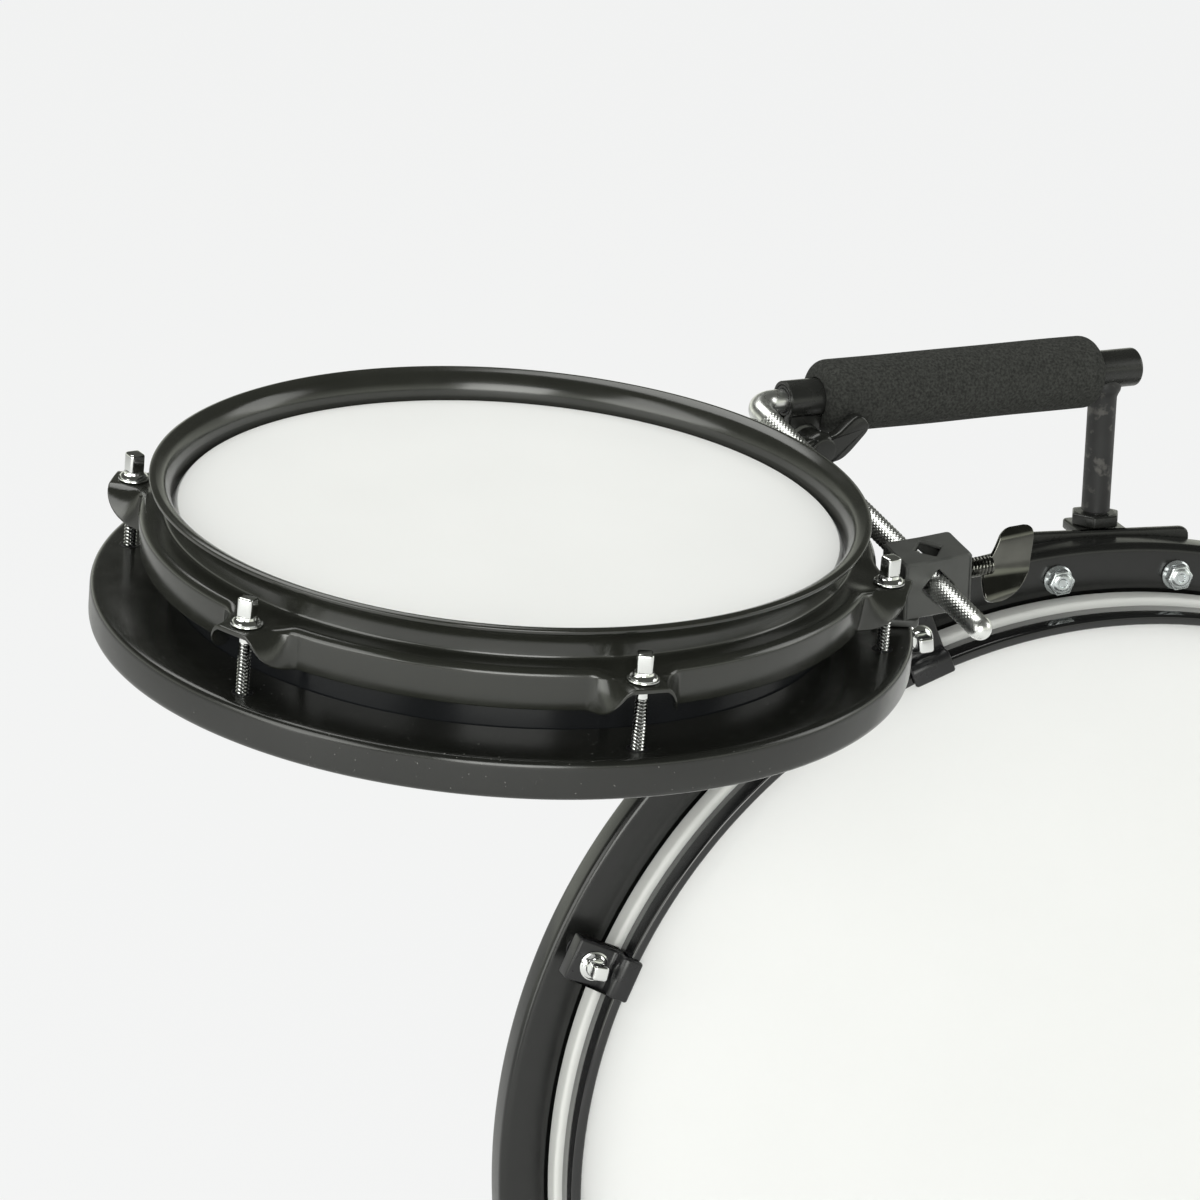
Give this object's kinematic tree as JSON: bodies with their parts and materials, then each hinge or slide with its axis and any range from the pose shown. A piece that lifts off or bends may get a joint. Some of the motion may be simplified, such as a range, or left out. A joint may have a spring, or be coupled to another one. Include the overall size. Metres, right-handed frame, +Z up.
{
  "type": "travel drum kit",
  "caption": "Compact drum kit: a small snare drum on a bent rod, carried by the padded handle of a shallow standing bass drum with legs and a pedal plate.",
  "frame": {"origin": "on the floor, at the underside of the floor plate, under the front face of the bass drum's mounting ring, on the bass drum's centre plane", "axes": "+Z up, -Y towards the player, +X to the right of someone who faces the struck side of the bass drum"},
  "size_m": [0.7546, 0.3477, 0.6154],
  "materials": {
    "black_wood": "satin black paint",
    "black_shell": "black lacquer",
    "head_film": "coated white film on a hoop",
    "gloss_hoop": "gloss black coat",
    "satin_steel": "satin black powder coat",
    "chrome_rods": "bright chrome",
    "zinc_bolts": "zinc plated",
    "dark_chrome": "black chrome",
    "black_plastic": "satin moulded",
    "foam": "soft closed-cell foam",
    "foot_rubber": "matt",
    "snare_steel": "bright steel"
  },
  "bodies": {
    "bass_drum": {"bass_ring": "black_wood", "bass_shell": "black_shell", "bass_head": "head_film", "bass_hoop": "gloss_hoop", "bass_claw_1": "satin_steel", "bass_claw_2": "satin_steel", "bass_claw_3": "satin_steel", "bass_claw_4": "satin_steel", "bass_claw_5": "satin_steel", "bass_claw_6": "satin_steel", "bass_claw_7": "satin_steel", "bass_claw_8": "satin_steel", "handle_bracket": "satin_steel", "handle_bolt_1": "zinc_bolts", "handle_bolt_2": "zinc_bolts", "handle_jam_nut": "satin_steel", "leg_socket_left": "satin_steel", "leg_socket_right": "satin_steel", "floor_plate": "satin_steel", "plate_bolt_1": "zinc_bolts", "plate_bolt_2": "zinc_bolts"},
    "handle": {"handle_frame": "satin_steel", "handle_grip": "foam", "clamp_bolt": "chrome_rods"},
    "clamp_wing": {"clamp_wing": "black_plastic"},
    "bush": {"rod_bush": "black_plastic"},
    "rod": {"l_rod": "chrome_rods"},
    "small_drum": {"small_ring": "black_wood", "small_shell": "black_shell", "small_head": "head_film", "small_hoop": "satin_steel", "rod_block": "satin_steel", "snare_wires": "snare_steel", "snare_bar_fixed": "snare_steel", "snare_guide": "snare_steel"},
    "block_bolt": {"block_bolt": "dark_chrome"},
    "snare_bar": {"snare_bar_sliding": "snare_steel"},
    "snare_knob": {"snare_knob": "black_plastic"},
    "leg_left": {"leg_left": "chrome_rods", "leg_foot_left": "foot_rubber"},
    "leg_right": {"leg_right": "chrome_rods", "leg_foot_right": "foot_rubber"},
    "leg_wing_left": {"leg_wing_left": "black_plastic"},
    "leg_wing_right": {"leg_wing_right": "black_plastic"},
    "bass_rod_1": {"bass_rod_1": "chrome_rods"},
    "bass_rod_2": {"bass_rod_2": "chrome_rods"},
    "bass_rod_3": {"bass_rod_3": "chrome_rods"},
    "bass_rod_4": {"bass_rod_4": "chrome_rods"},
    "bass_rod_5": {"bass_rod_5": "chrome_rods"},
    "bass_rod_6": {"bass_rod_6": "chrome_rods"},
    "bass_rod_7": {"bass_rod_7": "chrome_rods"},
    "bass_rod_8": {"bass_rod_8": "chrome_rods"},
    "small_rod_1": {"small_rod_1": "chrome_rods"},
    "small_rod_2": {"small_rod_2": "chrome_rods"},
    "small_rod_3": {"small_rod_3": "chrome_rods"},
    "small_rod_4": {"small_rod_4": "chrome_rods"},
    "small_rod_5": {"small_rod_5": "chrome_rods"},
    "small_rod_6": {"small_rod_6": "chrome_rods"}
  },
  "joints": [
    {"name": "handle_turn", "type": "hinge", "parent": "bass_drum", "child": "handle", "pos_m": [0, 0.0282, 0.54], "axis": [0, 0, 1], "range_deg": [-15, 25]},
    {"name": "clamp_wing_turn", "type": "hinge", "parent": "handle", "child": "clamp_wing", "pos_m": [-0.14457, -0.00253, 0.5839], "axis": [0.2079, -0.9781, 0], "range_deg": [-15, 85]},
    {"name": "rod_turn", "type": "hinge", "parent": "handle", "child": "bush", "pos_m": [0, 0.0282, 0.6004], "axis": [-0.9781, -0.2079, 0], "range_deg": [-5, 30]},
    {"name": "rod_slide", "type": "slide", "parent": "bush", "child": "rod", "axis": [-0.9781, -0.2079, 0], "range_m": [-0.004, 0.025]},
    {"name": "drum_turn", "type": "hinge", "parent": "rod", "child": "small_drum", "pos_m": [-0.13762, -0.14202, 0.56484], "axis": [0.2013, -0.9472, -0.2497], "range_deg": [-12, 12]},
    {"name": "block_bolt_turn", "type": "hinge", "parent": "small_drum", "child": "block_bolt", "pos_m": [-0.13762, -0.14202, 0.56484], "axis": [0.9794, 0.1908, 0.066], "continuous": true},
    {"name": "snare_knob_turn", "type": "hinge", "parent": "small_drum", "child": "snare_knob", "pos_m": [-0.2971, 0.05396, 0.56387], "axis": [0, -0.9937, -0.1122], "range_deg": [0, 720.5]},
    {"name": "snare_bar_slide", "type": "slide", "parent": "small_drum", "child": "snare_bar", "axis": [0, 0.9937, 0.1122], "range_m": [0, 0.002]},
    {"name": "leg_slide_left", "type": "slide", "parent": "bass_drum", "child": "leg_left", "axis": [-0.6321, 0.2549, -0.7318], "range_m": [-0.004, 0.015]},
    {"name": "leg_wing_turn_left", "type": "hinge", "parent": "bass_drum", "child": "leg_wing_left", "pos_m": [-0.2007, 0.036, 0.10659], "axis": [0, 1, 0], "continuous": true},
    {"name": "leg_slide_right", "type": "slide", "parent": "bass_drum", "child": "leg_right", "axis": [0.6321, 0.2549, -0.7318], "range_m": [-0.004, 0.015]},
    {"name": "leg_wing_turn_right", "type": "hinge", "parent": "bass_drum", "child": "leg_wing_right", "pos_m": [0.2007, 0.036, 0.10659], "axis": [0, 1, 0], "continuous": true},
    {"name": "bass_rod_turn_1", "type": "hinge", "parent": "bass_drum", "child": "bass_rod_1", "pos_m": [0.22718, -0.021, 0.3691], "axis": [0, -1, 0], "continuous": true},
    {"name": "bass_rod_turn_2", "type": "hinge", "parent": "bass_drum", "child": "bass_rod_2", "pos_m": [0.0941, -0.021, 0.50218], "axis": [0, -1, 0], "continuous": true},
    {"name": "bass_rod_turn_3", "type": "hinge", "parent": "bass_drum", "child": "bass_rod_3", "pos_m": [-0.0941, -0.021, 0.50218], "axis": [0, -1, 0], "continuous": true},
    {"name": "bass_rod_turn_4", "type": "hinge", "parent": "bass_drum", "child": "bass_rod_4", "pos_m": [-0.22718, -0.021, 0.3691], "axis": [0, -1, 0], "continuous": true},
    {"name": "bass_rod_turn_5", "type": "hinge", "parent": "bass_drum", "child": "bass_rod_5", "pos_m": [-0.22718, -0.021, 0.1809], "axis": [0, -1, 0], "continuous": true},
    {"name": "bass_rod_turn_6", "type": "hinge", "parent": "bass_drum", "child": "bass_rod_6", "pos_m": [-0.0941, -0.021, 0.04782], "axis": [0, -1, 0], "continuous": true},
    {"name": "bass_rod_turn_7", "type": "hinge", "parent": "bass_drum", "child": "bass_rod_7", "pos_m": [0.0941, -0.021, 0.04782], "axis": [0, -1, 0], "continuous": true},
    {"name": "bass_rod_turn_8", "type": "hinge", "parent": "bass_drum", "child": "bass_rod_8", "pos_m": [0.22718, -0.021, 0.1809], "axis": [0, -1, 0], "continuous": true},
    {"name": "small_rod_turn_1", "type": "hinge", "parent": "small_drum", "child": "small_rod_1", "pos_m": [-0.42896, -0.04417, 0.58905], "axis": [0.0078, -0.1122, 0.9937], "continuous": true},
    {"name": "small_rod_turn_2", "type": "hinge", "parent": "small_drum", "child": "small_rod_2", "pos_m": [-0.41945, -0.19033, 0.57248], "axis": [0.0078, -0.1122, 0.9937], "continuous": true},
    {"name": "small_rod_turn_3", "type": "hinge", "parent": "small_drum", "child": "small_rod_3", "pos_m": [-0.28731, -0.25511, 0.56413], "axis": [0.0078, -0.1122, 0.9937], "continuous": true},
    {"name": "small_rod_turn_4", "type": "hinge", "parent": "small_drum", "child": "small_rod_4", "pos_m": [-0.16469, -0.17374, 0.57235], "axis": [0.0078, -0.1122, 0.9937], "continuous": true},
    {"name": "small_rod_turn_5", "type": "hinge", "parent": "small_drum", "child": "small_rod_5", "pos_m": [-0.1742, -0.02758, 0.58892], "axis": [0.0078, -0.1122, 0.9937], "continuous": true},
    {"name": "small_rod_turn_6", "type": "hinge", "parent": "small_drum", "child": "small_rod_6", "pos_m": [-0.30634, 0.0372, 0.59727], "axis": [0.0078, -0.1122, 0.9937], "continuous": true}
  ],
  "couplings": [
    {"joint": "snare_knob_turn", "follows": "snare_bar_slide", "rad_per_m": 6283.2}
  ]
}
